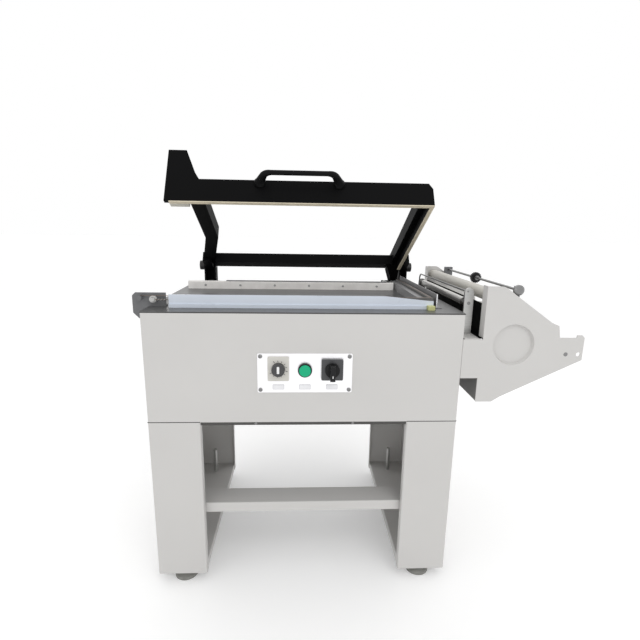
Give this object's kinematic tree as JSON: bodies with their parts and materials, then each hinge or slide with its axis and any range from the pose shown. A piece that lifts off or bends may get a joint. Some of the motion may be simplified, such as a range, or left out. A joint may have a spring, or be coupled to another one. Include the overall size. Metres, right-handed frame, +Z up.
{
  "type": "l_bar_sealer",
  "caption": "L bar film sealer on channel legs: table jaws, sprung hinged sealing arm, control plate, and film unwinder with perforator.",
  "frame": {"origin": "on the floor under the middle of the machine's bounding box, arm open", "axes": "+X to the right along the machine's length, +Y from the control side to the back, +Z up"},
  "size_m": [1.012, 0.524, 1.0227],
  "materials": {
    "grey_paint": "satin light grey powder coat",
    "deck_paint": "satin mid grey powder coat",
    "black_paint": "satin black powder coat",
    "steel": "plain zinc-plated steel",
    "chrome_steel": "polished plating",
    "aluminium": "mill-finish aluminium",
    "apron_sheet": "blue-grey coated sheet",
    "black_plastic": "matte black moulding",
    "green_plastic": "glossy green moulding",
    "insulator_plastic": "yellow-green laminate block",
    "nylon": "white nylon",
    "dark_rubber": "black rubber",
    "silicone": "beige silicone rubber with a release tape",
    "heat_strip": "brown heat-proof strip",
    "roller_sleeve": "beige-grey plastic roller sleeve"
  },
  "bodies": {
    "machine": {"left_leg": "grey_paint", "right_leg": "grey_paint", "base_trays": "grey_paint", "stretcher_shelf": "grey_paint", "cabinet_shell": "grey_paint", "rear_panel": "grey_paint", "bottom_pan": "grey_paint", "side_wall": "grey_paint", "unwinder_front_plate": "grey_paint", "unwinder_rear_plate": "grey_paint", "unwinder_tray": "grey_paint", "top_deck": "deck_paint", "tension_bracket": "deck_paint", "hinge_posts": "black_paint", "unwinder_panel": "black_paint", "foot_studs": "steel", "transformer": "steel", "electromagnet": "steel", "return_spring": "steel", "hinge_pins": "steel", "unwinder_bolts": "steel", "film_posts": "steel", "roller_axles": "steel", "spring_clip": "steel", "guide_wire": "steel", "seal_wire": "steel", "pulley_pins": "steel", "wire_terminal": "steel", "rod_clamps": "steel", "perforator_rod": "chrome_steel", "control_plate": "aluminium", "front_jaw": "aluminium", "side_jaw": "aluminium", "rear_rail": "aluminium", "front_apron": "apron_sheet", "contactor": "black_plastic", "cable_gland": "black_plastic", "timer_housing": "black_plastic", "button_collar": "black_plastic", "switch_body": "black_plastic", "wire_insulator": "insulator_plastic", "foot_pads": "dark_rubber", "jaw_strips": "heat_strip"},
    "sealing_arm": {"arm_front_bar": "black_paint", "arm_right_bar": "black_paint", "arm_left_bar": "black_paint", "arm_crossbar": "black_paint", "magnet_housing": "black_plastic", "armature_plate": "steel", "seal_pads": "silicone", "arm_handle": "black_plastic"},
    "timer_knob": {"timer_knob": "black_plastic"},
    "start_button": {"start_button": "green_plastic"},
    "switch_handle": {"switch_handle": "black_plastic"},
    "tension_pulley": {"tension_pulley": "nylon"},
    "upper_roller": {"upper_roller": "roller_sleeve"},
    "transfer_roller": {"transfer_roller": "roller_sleeve"},
    "front_support_roller": {"front_support_roller": "roller_sleeve"},
    "rear_support_roller": {"rear_support_roller": "roller_sleeve"},
    "perforating_wheel": {"perforating_wheel": "black_plastic"}
  },
  "joints": [
    {"name": "arm_hinge", "type": "hinge", "parent": "machine", "child": "sealing_arm", "pos_m": [-0.12, 0.223, 0.733], "axis": [1, 0, 0], "range_deg": [0, 29.6], "stiffness_Nm_per_rad": 20, "springref_deg": -71.62, "deforming": ["return_spring"]},
    {"name": "timer_turn", "type": "hinge", "parent": "machine", "child": "timer_knob", "pos_m": [-0.1785, -0.243, 0.5505], "axis": [0, 1, 0], "range_deg": [-30, 240]},
    {"name": "button_press", "type": "slide", "parent": "machine", "child": "start_button", "axis": [0, 1, 0], "range_m": [0, 0.004], "stiffness_N_per_m": 500, "springref_m": -0.004},
    {"name": "switch_turn", "type": "hinge", "parent": "machine", "child": "switch_handle", "pos_m": [-0.06, -0.247, 0.549], "axis": [0, 1, 0], "range_deg": [0, 90]},
    {"name": "pulley_spin", "type": "hinge", "parent": "machine", "child": "tension_pulley", "pos_m": [-0.458, -0.176, 0.6932], "axis": [0, 1, 0], "continuous": true},
    {"name": "upper_roller_spin", "type": "hinge", "parent": "machine", "child": "upper_roller", "pos_m": [0.3, 0.005, 0.7105], "axis": [0, 1, 0], "continuous": true},
    {"name": "transfer_roller_spin", "type": "hinge", "parent": "machine", "child": "transfer_roller", "pos_m": [0.252, 0.005, 0.691], "axis": [0, 1, 0], "continuous": true},
    {"name": "front_support_spin", "type": "hinge", "parent": "machine", "child": "front_support_roller", "pos_m": [0.467, 0.005, 0.5835], "axis": [0, 1, 0], "continuous": true},
    {"name": "rear_support_spin", "type": "hinge", "parent": "machine", "child": "rear_support_roller", "pos_m": [0.315, 0.005, 0.511], "axis": [0, 1, 0], "continuous": true},
    {"name": "perforator_spin", "type": "hinge", "parent": "machine", "child": "perforating_wheel", "pos_m": [0.345, 0.011, 0.7275], "axis": [0, 1, 0], "continuous": true}
  ]
}
